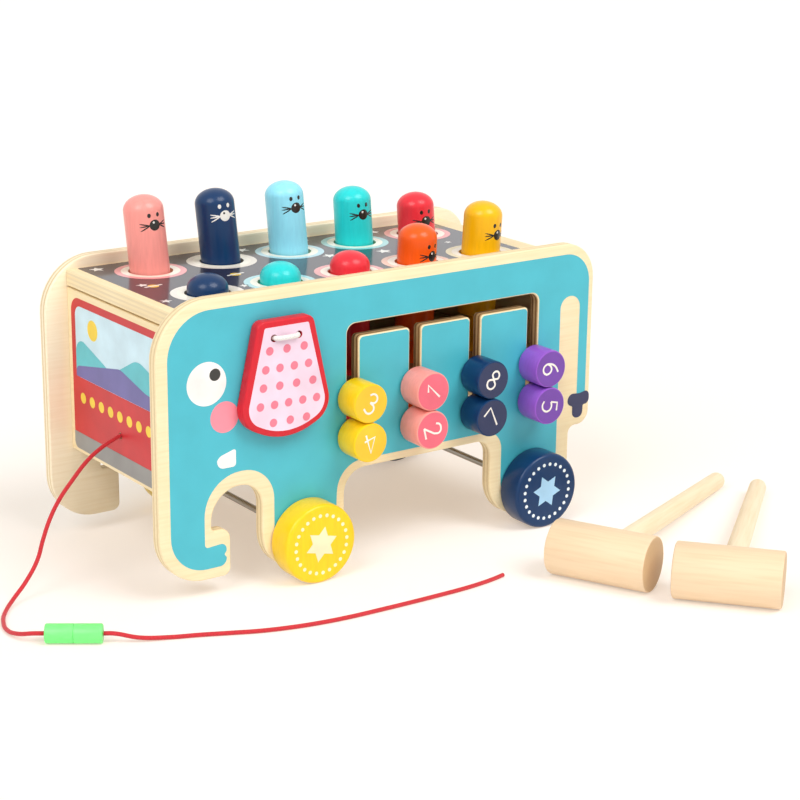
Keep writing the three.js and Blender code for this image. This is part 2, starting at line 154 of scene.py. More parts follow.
# Each soft box has a bearing, a height, a strength and a spread.
softboxes = [("left_softbox", -66, 44, 1.4, 34), ("right_softbox", 20, 52, 1.75, 34)]
for lamp_name, bearing, height, strength, spread in softboxes:
    lamp = bpy.data.lights.new(lamp_name, "SUN")
    lamp.energy = strength
    lamp.angle = math.radians(spread)
    new_object(lamp_name, lamp).matrix_world = turn_by(bearing, "Z") @ turn_by(90 - height, "X")

FLOOR_SIZE = 9
FLOOR_GLOW = 0.4
bpy.ops.mesh.primitive_plane_add(size=FLOOR_SIZE, location=at(0, 0, 0))
floor = bpy.context.object
floor.name = "floor"
floor_paint, tree, shader, _ = new_material("white_sweep_paper")
feed(tree, shader, {"Base Color": linear("#ffffff"), "Roughness": 0.9, "Specular IOR Level": 0.1})
share = add_node(tree, "Math", {0: seen_directly(tree), 1: FLOOR_GLOW}, operation="MULTIPLY")
glow = add_node(tree, "Emission", {"Color": linear("#ffebd8"), "Strength": 1.2})
mixed = add_node(tree, "MixShader", {0: share.outputs[0], 1: shader.outputs[0], 2: glow.outputs[0]})
tree.links.new(mixed.outputs[0], tree.nodes["Material Output"].inputs["Surface"])
floor.data.materials.append(floor_paint)


# Pull cord
# A limp red cord, 2.4 mm thick, braided from polyester yarn. It leaves a hole in the front board, where a
# knot holds it, hangs to the floor, and runs through a pull-apart connector to its cut end.

front_low, front_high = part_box("front_board")
CORD_RADIUS = 1.2
CORD_LIE = CORD_RADIUS + 0.1
CORD_HOLE_Z = 78


def shaded(colour, share, lift=0.0):
    """A colour made darker or lighter: its linear values times a share, plus a lift."""
    return [min(1, c * share + lift) for c in linear(colour)[:3]] + [1]


def mix_colours(tree, share, first, second):
    """Goes from the first colour to the second as share goes from nought to one."""
    return add_node(tree, "Mix", {0: share, 6: first, 7: second}, data_type="RGBA").outputs[2]


def ramp(tree, value, low, high, first=0.0, last=1.0, **settings):
    """Carries the range from low to high over to the range from first to last."""
    return add_node(tree, "MapRange", {0: value, 1: low, 2: high, 3: first, 4: last}, **settings).outputs[0]


def bump(tree, height, strength, distance, **settings):
    """Shows a height as fine relief of that many metres."""
    inputs = {"Strength": strength, "Distance": distance, "Height": height}
    return add_node(tree, "Bump", inputs, **settings).outputs[0]


def braided_cord(name, colour, pitch):
    """Braided polyester or cotton: matt crossed yarns with a soft sheen, and painted shade darkening the
    valleys between them.
    """
    material, tree, shader, spot = new_material(name)
    yarn = add_node(tree, "TexVoronoi", {"Vector": spot, "Scale": 1 / (pitch * MM)}).outputs["Distance"]
    # Painted shade: the yarn's colour darkens towards the valleys between the yarns.
    valley_shade = ramp(tree, yarn, 0.1, 0.8, last=0.45)
    feed(tree, shader, {
        "Base Color": mix_colours(tree, valley_shade, linear(colour), shaded(colour, 0.55)),
        "Normal": bump(tree, yarn, 0.5, 0.0002, invert=True), "Roughness": 0.75, "Sheen Weight": 0.3,
    })
    return material


def round_curve(name, lines, radius, smooth, sides, closed=False, sharp=0):
    """A round cord or stroke along curves through places; lines of up to sharp points keep their corners."""
    curve = bpy.data.curves.new(name, "CURVE")
    curve.dimensions = "3D"
    curve.resolution_u = smooth
    curve.bevel_depth = radius * MM
    curve.bevel_resolution = sides
    curve.use_fill_caps = not closed
    for line in lines:
        spline = curve.splines.new("BEZIER")
        spline.bezier_points.add(len(line) - 1)
        spline.use_cyclic_u = closed
        for point, place in zip(spline.bezier_points, line):
            point.co = place
            point.handle_left_type = "VECTOR" if len(line) <= sharp else "AUTO"
            point.handle_right_type = point.handle_left_type
    return new_object(name, curve)


def cord_curve(name, route, radius, material, closed=False):
    """A cord along a route in millimetres."""
    piece = round_curve(name, [[at(*place) for place in route]], radius, 8, 4, closed)
    piece.data.materials.append(material)
    return piece


red_braid = braided_cord("red_polyester_braid", "#d3202c", 0.9)
deck_front = in_mm(front_low).x
board_back = in_mm(front_high).x
lead_route = [
    (board_back + 0.3, 0, CORD_HOLE_Z), (deck_front, 0, CORD_HOLE_Z), (-140, -0.6, 77), (-150, -2.4, 73.6),
    (-158.6, -4.4, 69.3), (-169.9, -7.1, 60.4), (-179.5, -9, 51), (-186.3, -10.5, 41.4), (-191.2, -11.5, 31),
    (-195.4, -12.4, 20.6), (-203.5, -14.2, 10.4), (-213.5, -18.5, 3.6), (-222.4, -27.5, CORD_LIE + 0.2),
    (-229, -39, CORD_LIE), (-232.3, -51, CORD_LIE + 0.1), (-231.2, -61.5, 2.9),
]
tail_route = [(-181, -100.6, 2.6), (-167, -106.2, CORD_LIE + 0.1)]
tail_route += [(x, y, CORD_LIE) for x, y in (
    (-151.7, -112.4), (-137, -119.2), (-122.9, -125.5), (-107, -130.6), (-90.8, -134.1), (-72, -136.4),
    (-54, -137.3), (-34, -138), (-14.3, -138.3), (2, -138.2), (14, -137.4), (24.5, -136), (33.2, -134.1),
)]
CONNECTOR_RADIUS = 5.25
CONNECTOR_LENGTH = 30
connector_middle = Vector((-209.3, -82.3, CONNECTOR_RADIUS))
connector_heading = Vector((24.8, -16.8, 0)).normalized()
CONNECTOR_GAP = 0.3
STRAIGHT_IN = 5
to_end = connector_heading * (CONNECTOR_LENGTH / 2 + CONNECTOR_GAP)
socket_end, plug_end = connector_middle - to_end, connector_middle + to_end
lead_route += [socket_end - connector_heading * STRAIGHT_IN, socket_end]
tail_route = [plug_end, plug_end + connector_heading * STRAIGHT_IN] + tail_route

lead = cord_curve("red_cord_lead", lead_route, CORD_RADIUS, red_braid)
tail = cord_curve("red_cord_tail", tail_route, CORD_RADIUS, red_braid)
for cord_piece, node in ((lead, "pull_cord_lead"), (tail, "pull_cord_tail")):
    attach(cord_piece, "body")
    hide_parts(node)


# Cord knot
# An overhand knot in the same cord, tied inside the body and pulled tight against the back of the front
# board, so that the cord can't slip out through its hole.

KNOT_POINTS = 24
KNOT_SIZE = 2.4
KNOT_DEPTH = 1.5
KNOT_OFF_BOARD = 4.6


def to_mesh(piece):
    """Turns a curve into a mesh and leaves it active."""
    bpy.ops.object.select_all(action="DESELECT")
    piece.select_set(True)
    bpy.context.view_layer.objects.active = piece
    bpy.ops.object.convert(target="MESH")


knot_route = []
for i in range(KNOT_POINTS):
    turn = 2 * math.pi * i / KNOT_POINTS
    wide = KNOT_SIZE * (math.sin(turn) + 2 * math.sin(2 * turn)) / 3
    tall = KNOT_SIZE * (math.cos(turn) - 2 * math.cos(2 * turn)) / 3
    deep = KNOT_OFF_BOARD - KNOT_DEPTH * math.sin(3 * turn)
    knot_route.append((board_back + deep, wide, CORD_HOLE_Z + tall))
knot = cord_curve("red_cord_knot", knot_route, 0.9 * CORD_RADIUS, red_braid, closed=True)
to_mesh(knot)
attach(knot, "body")
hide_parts("cord_knot")


# Cord connector
# A safety clasp of two green polypropylene halves, moulded and closed on the cord's ends: the plug is pushed
# into the socket and comes apart under a hard pull.

SMOOTH_ANGLE = math.radians(35)
UP = Vector((0, 0, 1))


def close_up(weld=0.0):
    """Joins the active mesh's doubled points, where asked, and turns its faces outward."""
    bpy.ops.object.mode_set(mode="EDIT")
    bpy.ops.mesh.select_all(action="SELECT")
    if weld:
        bpy.ops.mesh.remove_doubles(threshold=weld)
    bpy.ops.mesh.normals_make_consistent(inside=False)
    bpy.ops.object.mode_set(mode="OBJECT")


def turned(name, profile, sides):
    """A piece turned about Z: a filled circle, extruded and drawn in or out along (radius, height) steps."""
    radius, height = profile[0]
    spot = (0, 0, height * MM)
    bpy.ops.mesh.primitive_circle_add(vertices=sides, radius=radius * MM, fill_type="NGON", location=spot)
    piece = bpy.context.object
    piece.name = name
    bpy.ops.object.transform_apply()
    bpy.ops.object.mode_set(mode="EDIT")
    bpy.ops.mesh.select_all(action="SELECT")
    for next_radius, next_height in profile[1:]:
        rise = (0, 0, (next_height - height) * MM)
        bpy.ops.mesh.extrude_region_move(TRANSFORM_OT_translate={"value": rise})
        share = next_radius / radius
        bpy.ops.transform.resize(value=(share, share, 1), center_override=(0, 0, next_height * MM))
        radius, height = next_radius, next_height
    bpy.ops.object.mode_set(mode="OBJECT")
    close_up()
    bpy.ops.object.shade_smooth_by_angle(angle=SMOOTH_ANGLE)
    return piece


def set_in_place(piece, matrix, material):
    """Moves a piece's mesh to its place and gives it its finish."""
    piece.data.transform(matrix)
    piece.data.materials.clear()
    piece.data.materials.append(material)


def axes_at(origin, x, y, z):
    """A matrix that carries a piece's own axes to these three, at an origin."""
    return Matrix.Translation(origin) @ Matrix((x, y, z)).transposed().to_4x4()


def along(axis, origin):
    """Places a piece so that its Z runs along axis and its X lies level."""
    z = axis.normalized()
    x = UP.cross(z) if abs(z.z) < 0.999 else Vector((1, 0, 0))
    x.normalize()
    return axes_at(origin, x, z.cross(x), z)


def noise(tree, spot, scale, detail):
    """Even cloudy noise with that many grains a metre."""
    return add_node(tree, "TexNoise", {"Vector": spot, "Scale": scale, "Detail": detail}).outputs[0]


def moulded_plastic(name, colour):
    """Injection moulded polypropylene: waxy, slightly see-through, with faint flow marks."""
    material, tree, shader, spot = new_material(name)
    flow = noise(tree, spot, 220.0, 2.0)
    feed(tree, shader, {
        "Base Color": mix_colours(tree, flow, linear(colour), shaded(colour, 1.12, lift=0.02)),
        "Normal": bump(tree, flow, 0.15, 0.0001), "Roughness": 0.38,
        "Subsurface Weight": 0.25, "Subsurface Radius": (0.001, 0.003, 0.001),
    })
    return material


green_plastic = moulded_plastic("green_polypropylene", "#78ea7e")
half_length = CONNECTOR_LENGTH / 2
clasp_profile = [
    (CONNECTOR_RADIUS - 0.25, 0.05), (CONNECTOR_RADIUS - 0.07, 0.12), (CONNECTOR_RADIUS, 0.35),
    (CONNECTOR_RADIUS, half_length - 0.9), (CONNECTOR_RADIUS - 0.12, half_length - 0.45),
    (CONNECTOR_RADIUS - 0.4, half_length - 0.12), (CONNECTOR_RADIUS - 0.8, half_length),
    (1.7, half_length), (1.6, half_length - 0.8),
]
for half, direction in (("socket", -1), ("plug", 1)):
    clasp = turned("clasp_" + half, clasp_profile, 40)
    set_in_place(clasp, along(direction * connector_heading, at(*connector_middle)), green_plastic)
    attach(clasp, "body")
    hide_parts("connector_" + half)


# Side panels
# Two sheets of 7.5 mm birch plywood routed to an elephant's outline, with sanded edges that show the plies.
# Both are screen printed in teal with a bare margin, and the near one has a comb-shaped track cut through it.

PANEL_THICK = (near_high.y - near_low.y) / MM
NEAR_FACE = in_mm(near_low).y
BODY_TOP = near_high.z / MM
ARC_STEPS = 12


def rounded_outline(corners):
    """Points of a closed outline through (x, y, radius) corners, each rounded by an arc."""
    points = []
    for i, (x, y, radius) in enumerate(corners):
        corner = Vector((x, y))
        before = (Vector(corners[i - 1][:2]) - corner).normalized()
        after = (Vector(corners[(i + 1) % len(corners)][:2]) - corner).normalized()
        half = before.angle(after) / 2
        centre = corner + (before + after).normalized() * (radius / math.sin(half))
        start = corner + before * (radius / math.tan(half)) - centre
        swing = start.angle_signed(corner + after * (radius / math.tan(half)) - centre)
        for step in range(ARC_STEPS + 1):
            turn = Matrix.Rotation(-swing * step / ARC_STEPS, 2)
            points.append(centre + turn @ start)
    return points


def ring_points(x, y, radius, sides=48):
    """Points of a circle."""
    turns = [2 * math.pi * i / sides for i in range(sides)]
    return [(x + radius * math.cos(t), y + radius * math.sin(t)) for t in turns]


def sheet(name, outlines, thick, edge=0.0):
    """A flat sheet in X and Y, lying on Z = 0, filled between outlines and with rounded edges."""
    curve = bpy.data.curves.new(name, "CURVE")
    curve.dimensions = "2D"
    curve.fill_mode = "BOTH"
    curve.extrude = (thick / 2 - edge) * MM
    curve.bevel_depth = edge * MM
    curve.bevel_resolution = 2
    curve.offset = -edge * MM
    for outline in outlines:
        spline = curve.splines.new("POLY")
        spline.points.add(len(outline) - 1)
        spline.use_cyclic_u = True
        for point, (x, y) in zip(spline.points, outline):
            point.co = (x * MM, y * MM, 0, 1)
    piece = new_object(name, curve)
    to_mesh(piece)
    piece.data.transform(Matrix.Translation((0, 0, thick / 2 * MM)))
    close_up(weld=1e-6)
    bpy.ops.object.shade_smooth_by_angle(angle=SMOOTH_ANGLE)
    return piece


PLY_SKIN = 0.12  # how far into its first ply, as a share, a sheet's edge begins
GRAIN_WIDTH = 0.0016
X, Y, Z = range(3)
CREAM_BIRCH = ("#f8e6be", "#edd3a2")


def birch_plywood(name, node, across, plies, along_grain, core="#e8cfa2", pale=CREAM_BIRCH):
    """Birch plywood: a cream face with fine streaks, and cut edges that show pale and brown plies in turn."""
    material, tree, shader, spot = new_material(name)
    low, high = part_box(node)
    depth = add_node(tree, "SeparateXYZ", {0: spot}).outputs[across]
    first, last = PLY_SKIN * math.pi, (plies - PLY_SKIN) * math.pi
    inside = ramp(tree, depth, low[across], high[across], first, last, clamp=False)
    wave = add_node(tree, "Math", {0: inside}, operation="SINE").outputs[0]
    ply = ramp(tree, wave, 0.1, -0.45, interpolation_type="SMOOTHSTEP")
    grain_size = [GRAIN_WIDTH] * 3
    grain_size[along_grain] = 25 * GRAIN_WIDTH
    grain_spot = add_node(tree, "Mapping", {"Vector": spot, "Scale": grain_size}, vector_type="TEXTURE")
    grain = noise(tree, grain_spot.outputs[0], 1.0, 4.0)
    streak = ramp(tree, grain, 0.42, 0.7, last=0.5)
    cream = mix_colours(tree, streak, linear(pale[0]), linear(pale[1]))
    brown = mix_colours(tree, grain, linear(core), shaded(core, 0.85))
    plied = mix_colours(tree, ply, cream, brown)
    cloud = ramp(tree, noise(tree, spot, 25.0, 2.0), 0.35, 0.7, last=0.35)
    feed(tree, shader, {
        "Base Color": mix_colours(tree, cloud, plied, linear(pale[1])),
        "Normal": bump(tree, grain, 0.2, 0.0002), "Roughness": 0.55, "Specular IOR Level": 0.3,
    })
    return material


def printed_ink(name, colour, rough=0.42, cloud_size=18.0, depth=0.12):
    """Screen-printed toy ink on sanded wood: an even satin film with faint clouds and the grain just felt."""
    material, tree, shader, spot = new_material(name)
    cloud = ramp(tree, noise(tree, spot, 1 / (cloud_size * MM), 4.0), 0.3, 0.7)
    low, high = shaded(colour, 1 - depth), shaded(colour, 1 + 0.4 * depth)
    feed(tree, shader, {
        "Base Color": mix_colours(tree, cloud, low, high),
        "Normal": bump(tree, noise(tree, spot, 900.0, 2.0), 0.1, 0.0001), "Roughness": rough,
    })
    return material


def facing(origin, right, up=UP):
    """A matrix that lays a flat sheet on a face, with its X along right and its Y along up."""
    x, y = Vector(right), Vector(up)
    return axes_at(origin, x, y, x.cross(y))


near_side = facing(at(0, NEAR_FACE, 0), (1, 0, 0))
far_side = facing(at(0, -NEAR_FACE, 0), (-1, 0, 0))
INK = 0.06  # film of ink, drawn thick enough to lie clear of the wood


def sunk(side, depth):
    """The same face, set back by a depth in millimetres."""
    return side @ Matrix.Translation((0, 0, -depth * MM))


def ink_on(name, outlines, side, material, body="body", lift=0.0):
    """A printed shape lying on a face; lift raises one print over another."""
    film = sheet(name, outlines, INK)
    set_in_place(film, sunk(side, -lift), material)
    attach(film, body)


def middle_of(node):
    """The middle of a CAD node's box."""
    low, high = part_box(node)
    return (low + high) / 2


def flipped(outline, way=-1):
    """An outline as the far side shows it, or as it is where way is 1."""
    return [(way * x, z) for x, z in outline]


elephant = rounded_outline([
    (-150, BODY_TOP, 32), (-150, 10.6, 28), (-105.8, 10.6, 4.5), (-105.8, 38, 6),
    (-117.6, 38, 2.5), (-117.6, 61, 18), (-85, 61, 14), (-85, 6, 24),
    (-30.5, 6, 24), (-30.5, 56.7, 14), (74, 56.7, 10), (74, 6, 24),
    (134.5, 6, 24), (134.5, 54.5, 5), (150, 54.5, 8.5), (150, BODY_TOP, 22),
])
painted_field = rounded_outline([
    (-143, 162.4, 26), (-143, 16.8, 22), (-108.4, 16.8, 4.2), (-108.4, 21.4, 0.9),
    (-109.9, 23.3, 0.9), (-108.4, 25.2, 0.9), (-108.4, 30, 3.6), (-122, 29, 2),
    (-122, 69.4, 23), (-77.4, 69.4, 20), (-77.4, 12, 18), (-37, 12, 18),
    (-35, 61.6, 17), (82.4, 61.6, 12), (82.4, 12, 18), (125, 12, 14),
    (125, 136.6, 7.4), (140, 136.6, 7.4), (140, 70, 0.5), (146.6, 70, 0.5),
    (146.6, 162.4, 18),
])
slots_x = [in_mm(middle_of(f"disc_{i}_lower")).x for i in range(1, 5)]
DISC_STEM = 3.25
STEM_PLAY = 0.3
SLOT_HALF = 3.8
CHANNEL_TOP = 141.8
SLOT_FOOT = middle_of("disc_1_lower").z / MM - DISC_STEM - STEM_PLAY


def comb_track(wider=0.0):
    """The channel along the top and the four blind slots that hang from it."""
    half = SLOT_HALF + wider
    top, tongue, foot = CHANNEL_TOP + wider, CHANNEL_TOP - 2 * SLOT_HALF - wider, SLOT_FOOT - wider
    corners = [(slots_x[-1] + half, top, 6), (slots_x[0] - half, top, 6)]
    for i, x in enumerate(slots_x):
        if i > 0:
            corners.append((x - half, tongue, 2.5))
        corners += [(x - half, foot, 0.98 * half), (x + half, foot, 0.98 * half)]
        if i < len(slots_x) - 1:
            corners.append((x + half, tongue, 2.5))
    return rounded_outline(corners)


AXLE_HOLE = 2.35
axle_middles = [in_mm(middle_of(place + "_axle")) for place in ("front", "rear")]
axle_holes = [ring_points(middle.x, middle.z, AXLE_HOLE) for middle in axle_middles]
ear_low, ear_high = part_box("ear")
ear_x = in_mm(middle_of("ear")).x
ear_top = ear_high.z / MM
TIE_DROP = 9.7
TIE_SPAN = 16
TIE_HOLE = 2.1
tie_holes = [ring_points(ear_x + side * TIE_SPAN / 2, ear_top - TIE_DROP, TIE_HOLE, 24) for side in (-1, 1)]

PANEL_PLIES = 5
plywood_near = birch_plywood("birch_plywood_near_panel", "near_side_panel", Y, PANEL_PLIES, X)
# The far panel's plywood is drawn paler than the near one's: painted light on its shaded side.
plywood_far = birch_plywood(
    "birch_plywood_far_panel", "far_side_panel", Y, PANEL_PLIES, X, pale=("#fff0d4", "#f3deb8"),
)
teal_ink = printed_ink("teal_screen_ink", "#4abaca", depth=0.06)
PANEL_EDGE = 0.9

near_panel = sheet("near_panel", [elephant, comb_track(), *axle_holes, *tie_holes], PANEL_THICK, PANEL_EDGE)
set_in_place(near_panel, sunk(near_side, PANEL_THICK), plywood_near)
# The track's cut walls take a darker plywood: painted shade for the dim inside of the slots.
painted_shade = birch_plywood(
    "birch_plywood_scorched_track", "near_side_panel", Y, PANEL_PLIES, X,
    core="#7d5c3a", pale=("#cfae80", "#b89362"),
)
near_panel.data.materials.append(painted_shade)
# Walls inside the track, facing across the panel, get that painted shade.
track_left, track_right = slots_x[0] - SLOT_HALF - 1, slots_x[-1] + SLOT_HALF + 1
for polygon in near_panel.data.polygons:
    x, _, z = in_mm(polygon.center)
    in_track = track_left < x < track_right and SLOT_FOOT - 1 < z < CHANNEL_TOP + 1
    if in_track and abs(polygon.normal.y) < 0.5:
        polygon.material_index = 1
far_outlines = [flipped(outline) for outline in (elephant, *axle_holes)]
far_panel = sheet("far_panel", far_outlines, PANEL_THICK, PANEL_EDGE)
set_in_place(far_panel, sunk(far_side, PANEL_THICK), plywood_far)
for panel, node in ((near_panel, "near_side_panel"), (far_panel, "far_side_panel")):
    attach(panel, "body")
    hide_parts(node)

BARE_RIM = 0.75  # bare wood left round the track
ink_on("near_teal_print", [painted_field, comb_track(BARE_RIM), *tie_holes], near_side, teal_ink)
ink_on("far_teal_print", [flipped(painted_field)], far_side, teal_ink)


# Face and tail prints
# The elephant's eye, cheek and tusk and the tuft of its tail: screen ink in four colours, printed over the
# teal on both sides. The pupil is a second pass over the eye's white.

white_ink = printed_ink("white_screen_ink", "#fbf5f0")
black_ink = printed_ink("black_screen_ink", "#33332f", rough=0.35)
cheek_ink = printed_ink("pink_screen_ink", "#f7909f")
navy_ink = printed_ink("navy_screen_ink", "#33375a")
tusk = rounded_outline([(-101.8, 83, 1.2), (-101.8, 72.8, 2), (-115, 72.8, 4.2), (-113, 79.6, 5)])
tuft = rounded_outline([
    (133, 75.2, 4.2), (142, 74.4, 6), (149.9, 75.9, 3.2), (149.9, 66.6, 3.4), (145.2, 67, 1.2),
    (144.8, 59.1, 3.7), (137, 59.1, 3.7), (136.8, 67.2, 1.2), (133, 67.2, 3.4),
])
for side_name, side, way in (("near", near_side, 1), ("far", far_side, -1)):
    marks = [
        ("eye_white", [ring_points(way * -119.4, 122, 12.2)], white_ink, INK),
        ("eye_pupil", [ring_points(way * -114.2, 126.4, 3.4)], black_ink, 2 * INK),
        ("cheek", [ring_points(way * -108.6, 101.8, 8.8)], cheek_ink, INK),
        ("tusk", [flipped(tusk, way)], white_ink, INK),
        ("tail_tuft", [flipped(tuft, way)], navy_ink, INK),
    ]
    for mark, outlines, ink, lift in marks:
        ink_on(f"{side_name}_{mark}", outlines, side, ink, lift=lift)


# Deck board
# Birch plywood with ten loose holes for the pegs, let in between the panels. Its print is a glossy night sky
# with stars, and a ring in each peg's colour round its hole.

deck_low, deck_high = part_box("deck_board")
DECK_TOP = deck_high.z / MM
DECK_THICK = (deck_high.z - deck_low.z) / MM
HOLE_RADIUS = 12.9


def peg_line(name):
    """A peg's lowest point on its axis and its axis, from its solid and its joint."""
    axis = Vector(next(j["axis"] for j in frame["joints"] if j["child"] == name)).normalized()
    points = [v.co for v in frame["nodes"][name].data.vertices]
    middle = sum(points, Vector()) / len(points)
    foot = min((p - middle).dot(axis) for p in points)
    return middle + foot * axis, axis


peg_names = [f"mole_{row}_{i}" for row in ("back", "front") for i in range(1, 6)]
peg_lines = {name: peg_line(name) for name in peg_names}
hole_middles = {}
for name, (foot, axis) in peg_lines.items():
    crossing = in_mm(foot + axis * ((deck_low.z + deck_high.z) / 2 - foot.z) / axis.z)
    hole_middles[name] = (crossing.x, crossing.y)

deck_left, deck_right, deck_half = in_mm(deck_low).x, in_mm(deck_high).x, in_mm(deck_high).y
rectangle = [
    (deck_left, -deck_half), (deck_right, -deck_half), (deck_right, deck_half), (deck_left, deck_half),
]
deck_side = facing(at(0, 0, DECK_TOP), (1, 0, 0), (0, 1, 0))
peg_holes = [ring_points(x, y, HOLE_RADIUS) for x, y in hole_middles.values()]
plywood_deck = birch_plywood("birch_plywood_deck", "deck_board", Z, 7, Y, core="#f1deb8")
BOARD_EDGE = 0.5
deck = sheet("deck", [rectangle, *peg_holes], DECK_THICK, BOARD_EDGE)
set_in_place(deck, sunk(deck_side, DECK_THICK), plywood_deck)
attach(deck, "body")
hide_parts("deck_board")


def lacquered_ink(name, colour):
    """Ink under clear lacquer: the smooth coat mirrors the pegs that stand on it."""
    material = printed_ink(name, colour, rough=0.4, cloud_size=30.0)
    tree = material.node_tree
    coat = {"Coat Weight": 1.0, "Coat Roughness": 0.12, "Coat IOR": 1.29, "Specular IOR Level": 0.1}
    feed(tree, tree.nodes["Principled BSDF"], coat)
    return material


night_ink = lacquered_ink("night_blue_lacquered_ink", "#231e2d")
star_ink = lacquered_ink("white_lacquered_ink", "#f4f3ee")
cream_ink = lacquered_ink("cream_lacquered_ink", "#fff6e4")
NIGHT_LEFT, NIGHT_RIGHT = -129.2, 118
night_half = deck_half - 0.4
night = rounded_outline([
    (NIGHT_LEFT, -night_half, 1.5), (NIGHT_RIGHT, -night_half, 1.5),
    (NIGHT_RIGHT, night_half, 1.5), (NIGHT_LEFT, night_half, 1.5),
])
ink_on("deck_night_print", [night, *peg_holes], deck_side, night_ink)
ring_colours = [
    "#f3a2a6", "#f1e8da", "#b9e3ef", "#9ad5d8", "#ef9a9c", "#f4ede2", "#a9dfe6", "#f0a3a5",
    "#f6c3ab", "#f5e6b4",
]
RING_OUTER = 20.6
RING_INNER = 17.0
for (name, (x, y)), ring_colour in zip(hole_middles.items(), ring_colours):
    hole = ring_points(x, y, HOLE_RADIUS)
    ring_ink = lacquered_ink(f"{name}_ring_ink", ring_colour)
    ink_on(f"{name}_ring", [ring_points(x, y, RING_OUTER), hole], deck_side, ring_ink, lift=INK)
    ink_on(f"{name}_inner_ring", [ring_points(x, y, RING_INNER), hole], deck_side, cream_ink, lift=2 * INK)


def star_points(x, y, radius, points, inner, turn):
    """A star with that many points; inner is the valleys' share of the radius."""
    places = []
    for i in range(2 * points):
        reach = radius if i % 2 == 0 else inner * radius
        angle = math.radians(turn) + math.pi * i / points
        places.append((x + reach * math.cos(angle), y + reach * math.sin(angle)))
    return places


stars = [
    (-121, 51, 4.6, 80), (-25, 50, 4.6, 100), (70.5, 49.5, 4.0, 70), (10.5, 9, 4.6, 95), (44.5, 1.5, 5.0, 75),
    (-125, -36, 3.6, 60), (-71, -28.5, 3.2, 90), (-73.5, 4, 3.4, 105), (22, 53, 2.6, 80), (112, 46, 3.4, 60),
    (112, -2, 4.4, 85), (-30, 0, 3.0, 70), (-118, 3, 3.6, 85), (68, -52, 3.4, 100), (-25, -52, 3.4, 80),
    (21, -53, 2.8, 60), (115, -50, 3.4, 75), (-100, -55, 3.0, 90), (-76, 53, 2.8, 70), (92, 1, 2.4, 90),
]
STAR_WAIST = 0.45
for i, (x, y, radius, turn) in enumerate(stars):
    star = star_points(x, y, radius, 5, STAR_WAIST, turn)
    ink_on(f"deck_star_{i + 1}", [star], deck_side, star_ink, lift=INK)

planet_ink = lacquered_ink("yellow_lacquered_ink", "#f6cf45")
for i, past_peg in enumerate((-17, -11)):
    x = hole_middles[peg_names[i]][0] + past_peg
    ink_on(f"deck_planet_{i + 1}", [ring_points(x, -2, 3.2)], deck_side, planet_ink, lift=INK)
    band = rounded_outline([(x - 6, -3.6, 0.8), (x + 6, -2, 0.8), (x + 6, -0.4, 0.8), (x - 6, -2, 0.8)])
    ink_on(f"deck_planet_band_{i + 1}", [band], deck_side, star_ink, lift=2 * INK)


# Front and rear boards
# Plain birch plywood, cut square and let in under the deck at both ends. The front one has a hole for the
# cord and a framed print: a landscape in a window on a red field, with a row of dots under it.

END_THICK = (front_high.x - front_low.x) / MM
END_FOOT = front_low.z / MM
END_TOP = front_high.z / MM - 0.9  # leaves the dark seam under the deck
END_PLIES = 5
plywood_front = birch_plywood("birch_plywood_front_board", "front_board", X, END_PLIES, Y)
plywood_rear = birch_plywood("birch_plywood_rear_board", "rear_board", X, END_PLIES, Y)
front_side = facing(at(deck_front, 0, 0), (0, -1, 0))
rear_side = facing(at(in_mm(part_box("rear_board")[1]).x, 0, 0), (0, 1, 0))
end_outline = [(-deck_half, END_FOOT), (deck_half, END_FOOT), (deck_half, END_TOP), (-deck_half, END_TOP)]
cord_hole = ring_points(0, CORD_HOLE_Z, 2.0, 24)
for name, side, outlines, node, ply in (
    ("front_end", front_side, [end_outline, cord_hole], "front_board", plywood_front),
    ("rear_end", rear_side, [end_outline], "rear_board", plywood_rear),
):
    board = sheet(name, outlines, END_THICK, BOARD_EDGE)
    set_in_place(board, sunk(side, END_THICK), ply)
    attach(board, "body")
    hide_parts(node)

front_colours = {
    "red": "#cc282e", "pale_blue": "#cfeaf5", "yellow": "#f6d33f", "turquoise": "#5fc3cc",
    "purple": "#6f6aa6", "grey": "#94928f",
}
front_inks = {ink: printed_ink(ink + "_screen_ink", colour) for ink, colour in front_colours.items()}
front_frame = rounded_outline([(-56, 57, 4), (56, 57, 4), (56, 147.5, 9), (-56, 147.5, 9)])
front_window = rounded_outline([(-51, 101, 5), (51, 101, 5), (51, 143, 6), (-51, 143, 6)])
far_hills = rounded_outline([
    (-51, 101.2, 0.4), (51, 101.2, 0.4), (51, 118, 3), (22, 127, 16), (-8, 112, 14), (-51, 126, 8),
])
near_hills = rounded_outline([
    (-51, 101.2, 0.4), (51, 101.2, 0.4), (51, 108, 3), (30, 110, 12), (2, 117, 14), (-51, 107, 4),
])
ground = rounded_outline([(-56, 57, 4), (56, 57, 4), (56, 67, 0.4), (-56, 67, 0.4)])
DOT_PITCH = 11
row_of_dots = [ring_points(i * DOT_PITCH, 89, 3.2, 24) for i in range(-4, 5)]
for name, outlines, ink, passes in (
    ("red_field", [front_frame, cord_hole], "red", 0),
    ("sky_window", [front_window], "pale_blue", 1),
    ("sun", [ring_points(-30, 132, 6)], "yellow", 2),
    ("far_hills", [far_hills], "turquoise", 3),
    ("near_hills", [near_hills], "purple", 4),
    ("ground", [ground], "grey", 2),
    ("dots", row_of_dots, "yellow", 1),
):
    ink_on("front_" + name, outlines, front_side, front_inks[ink], lift=passes * INK)


# Guide board and grip sheet
# Hidden under the deck: a loose plywood guide that the pegs' stems run through, and a black rubber sheet that
# grips the pegs by friction. Both keep their CAD shape.


def sheet_rubber(name):
    """Calendered rubber sheet: matt black with a fine dusty grain."""
    material, tree, shader, spot = new_material(name)
    dust = noise(tree, spot, 400.0, 3.0)
    feed(tree, shader, {
        "Base Color": mix_colours(tree, dust, linear("#1f1f20"), linear("#39393b")), "Roughness": 0.85,
    })
    return material


def dress(node, material):
    """Gives a CAD node its finish."""
    set_in_place(frame["nodes"][node], Matrix(), material)


